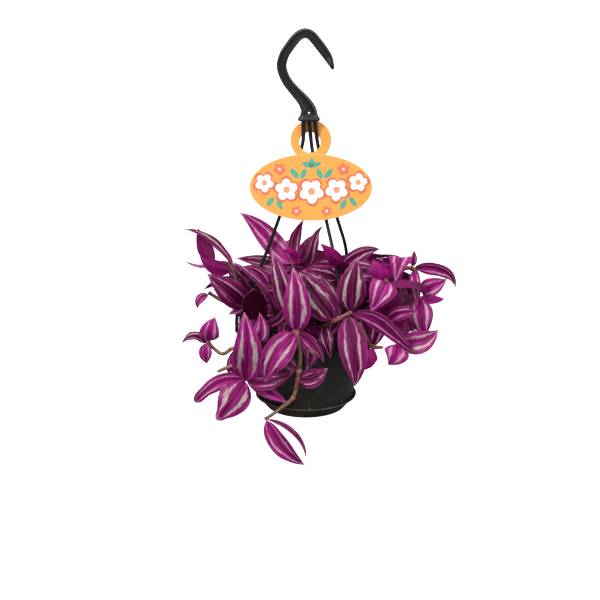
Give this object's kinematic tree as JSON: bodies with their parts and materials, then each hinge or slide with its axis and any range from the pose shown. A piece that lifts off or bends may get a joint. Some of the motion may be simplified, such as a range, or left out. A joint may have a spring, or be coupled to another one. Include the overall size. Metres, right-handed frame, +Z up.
{
  "type": "tradescantia hanging basket",
  "caption": "Trailing purple and silver striped tradescantia in a black plastic pot and saucer, hung from a hook by a three-strand hanger with a plain card tag.",
  "frame": {"origin": "where the hook rests on a rail: the top of the hook's inner curve", "axes": "+Z up, -Y the side that the plant faces, +X to the right when seen from the front"},
  "size_m": [0.2387, 0.1688, 0.3731],
  "materials": {
    "pot_plastic": "satin",
    "saucer_plastic": "satin",
    "potting_soil": "matte",
    "hanger_plastic": "satin",
    "tag_card": "satin",
    "plant_stem": "satin",
    "plant_leaf": "satin"
  },
  "bodies": {
    "root": {"hanger_hook": "hanger_plastic", "hanger_strand_back": "hanger_plastic", "hanger_strand_front": "hanger_plastic", "hanger_strand_left": "hanger_plastic", "leaf_back_down": "plant_leaf", "leaf_back_left_down": "plant_leaf", "leaf_back_left_out": "plant_leaf", "leaf_back_right_down": "plant_leaf", "leaf_back_right_out": "plant_leaf", "leaf_back_right_up": "plant_leaf", "leaf_back_side": "plant_leaf", "leaf_back_up": "plant_leaf", "leaf_front_down_left": "plant_leaf", "leaf_front_down_right": "plant_leaf", "leaf_front_up": "plant_leaf", "leaf_left_behind": "plant_leaf", "leaf_left_big": "plant_leaf", "leaf_left_dark": "plant_leaf", "leaf_left_folded": "plant_leaf", "leaf_left_low_arch": "plant_leaf", "leaf_left_low_inner": "plant_leaf", "leaf_left_low_point": "plant_leaf", "leaf_left_narrow": "plant_leaf", "leaf_left_upright": "plant_leaf", "leaf_middle_band": "plant_leaf", "leaf_middle_striped": "plant_leaf", "leaf_right_boat": "plant_leaf", "leaf_right_curled": "plant_leaf", "leaf_right_front_arch": "plant_leaf", "leaf_right_front_down": "plant_leaf", "leaf_right_front_up": "plant_leaf", "leaf_right_hanging": "plant_leaf", "leaf_right_long": "plant_leaf", "leaf_right_maroon": "plant_leaf", "leaf_right_round": "plant_leaf", "leaf_right_tip": "plant_leaf", "leaf_right_wedge": "plant_leaf", "leaf_shoot_round": "plant_leaf", "leaf_top_curled": "plant_leaf", "leaf_top_left": "plant_leaf", "leaf_top_right": "plant_leaf", "leaf_top_striped": "plant_leaf", "leaf_trailing_end": "plant_leaf", "pot": "pot_plastic", "saucer": "saucer_plastic", "soil": "potting_soil", "stem_back": "plant_stem", "stem_back_left": "plant_stem", "stem_back_right": "plant_stem", "stem_front_right": "plant_stem", "stem_front_trailing": "plant_stem", "stem_left_low": "plant_stem", "stem_left_up": "plant_stem", "stem_middle": "plant_stem", "stem_middle_right": "plant_stem", "stem_right_high": "plant_stem", "stem_right_low": "plant_stem", "stem_right_middle": "plant_stem", "stem_side_shoot": "plant_stem", "tag": "tag_card"}
  },
  "joints": []
}
